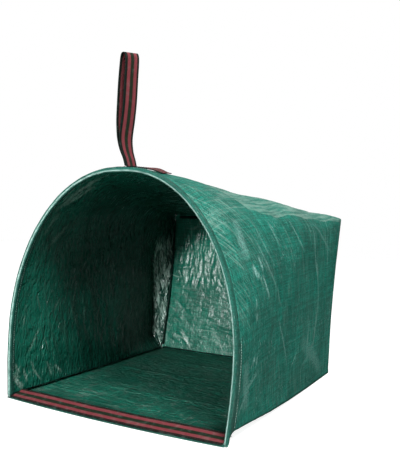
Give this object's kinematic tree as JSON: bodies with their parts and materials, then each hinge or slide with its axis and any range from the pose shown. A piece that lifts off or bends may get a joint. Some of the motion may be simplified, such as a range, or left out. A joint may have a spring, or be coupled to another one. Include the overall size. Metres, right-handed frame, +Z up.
{
  "type": "garden waste bag",
  "caption": "Soft open-fronted garden bag that lies on its floor like a dustpan, with a hooped arch mouth, a stiff sill and webbing loop handles at the mouth and rear.",
  "frame": {"origin": "middle of the floor panel's underside, which rests on the ground", "axes": "+Z up, +Y into the bag from the mouth to the rear, +X to the right for someone who looks into the mouth"},
  "size_m": [0.518, 0.677, 0.6947],
  "materials": {
    "cloth": "satin",
    "hem_cloth": "satin",
    "seam_tape": "matte",
    "webbing": "matte",
    "hoop_rod": "satin",
    "black_plastic": "matte"
  },
  "bodies": {
    "bag": {"floor_panel": "cloth", "wrap_panel": "cloth", "rear_panel": "cloth", "mouth_hem_sleeve": "hem_cloth", "mouth_hoop": "hoop_rod", "hoop_tip_left": "black_plastic", "hoop_tip_right": "black_plastic", "sill_batten": "black_plastic", "sill_hem": "hem_cloth", "sill_webbing": "webbing", "front_handle_tail_left": "webbing", "front_handle_tail_right": "webbing", "rear_handle_tail_top": "webbing", "rear_handle_tail_back": "webbing", "seam_floor_left": "seam_tape", "seam_floor_right": "seam_tape", "seam_rear_left": "seam_tape", "seam_rear_right": "seam_tape", "seam_rear_bottom": "seam_tape", "seam_rear_top": "seam_tape"},
    "front_handle": {"front_handle_loop": "webbing"},
    "rear_handle": {"rear_handle_loop": "webbing"}
  },
  "joints": [
    {"name": "front_handle_swing", "type": "hinge", "parent": "bag", "child": "front_handle", "pos_m": [0.003, -0.24627, 0.47242], "axis": [0, 0.9931, -0.1174], "range_deg": [-66, 98]},
    {"name": "rear_handle_swing", "type": "hinge", "parent": "bag", "child": "rear_handle", "pos_m": [0, 0.3703, 0.395], "axis": [1, 0, 0], "range_deg": [0, 225]}
  ]
}
